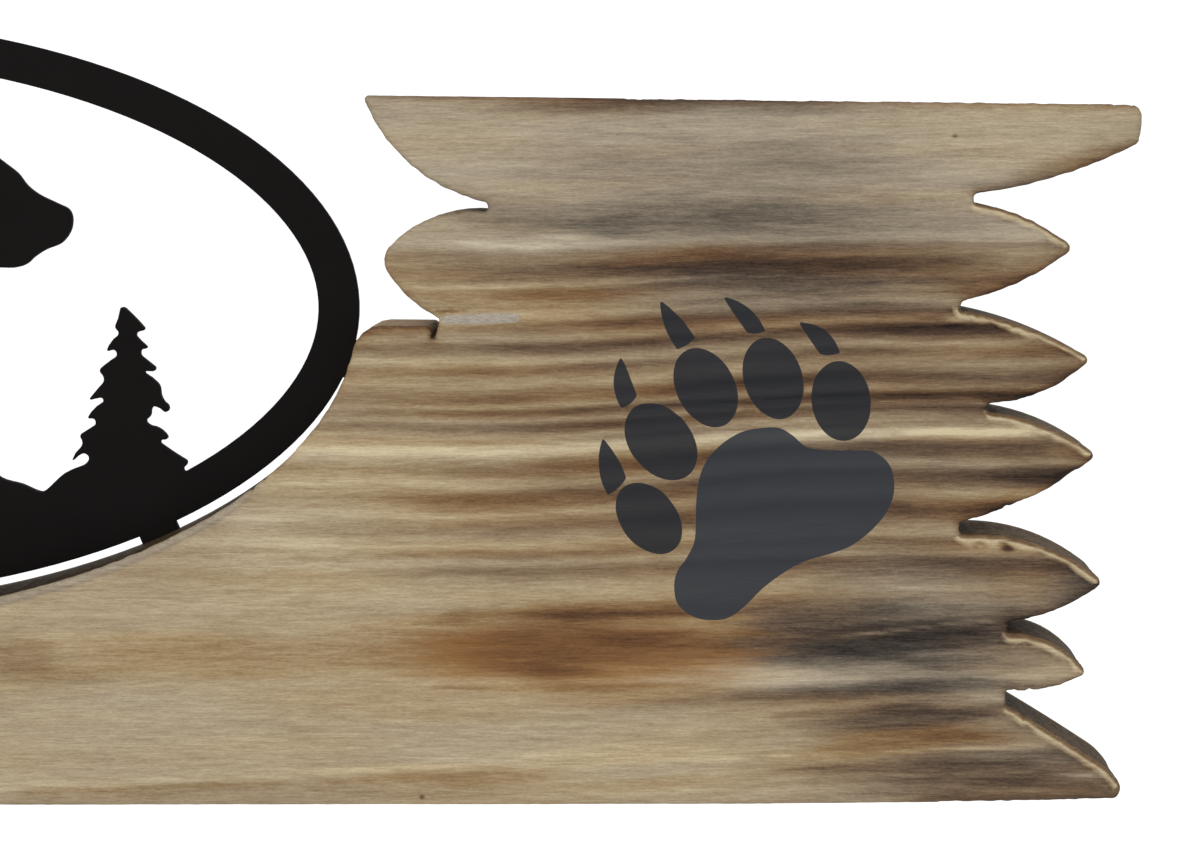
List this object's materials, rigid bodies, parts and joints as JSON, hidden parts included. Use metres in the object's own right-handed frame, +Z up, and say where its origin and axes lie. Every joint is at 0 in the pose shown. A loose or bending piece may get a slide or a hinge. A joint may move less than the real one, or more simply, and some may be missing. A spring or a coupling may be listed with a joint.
{
  "type": "wall plaque",
  "caption": "Wide pine board with long splinter-shaped ends, scooped out in the middle around an oval of black sheet steel cut as a bear walking between pines",
  "frame": {"origin": "on the flat back of the board, in the middle of the band of wood below the oval", "axes": "+X along the board to the viewer's right, +Y into the wall, +Z up as it hangs; the front faces -Y"},
  "size_m": [0.9224, 0.019, 0.2632],
  "materials": {
    "pine": "sanded and scorched, thin matt clear coat",
    "black_steel": "fine-textured satin black"
  },
  "bodies": {
    "root": {"pine_board": "pine", "steel_oval": "black_steel"}
  },
  "joints": []
}
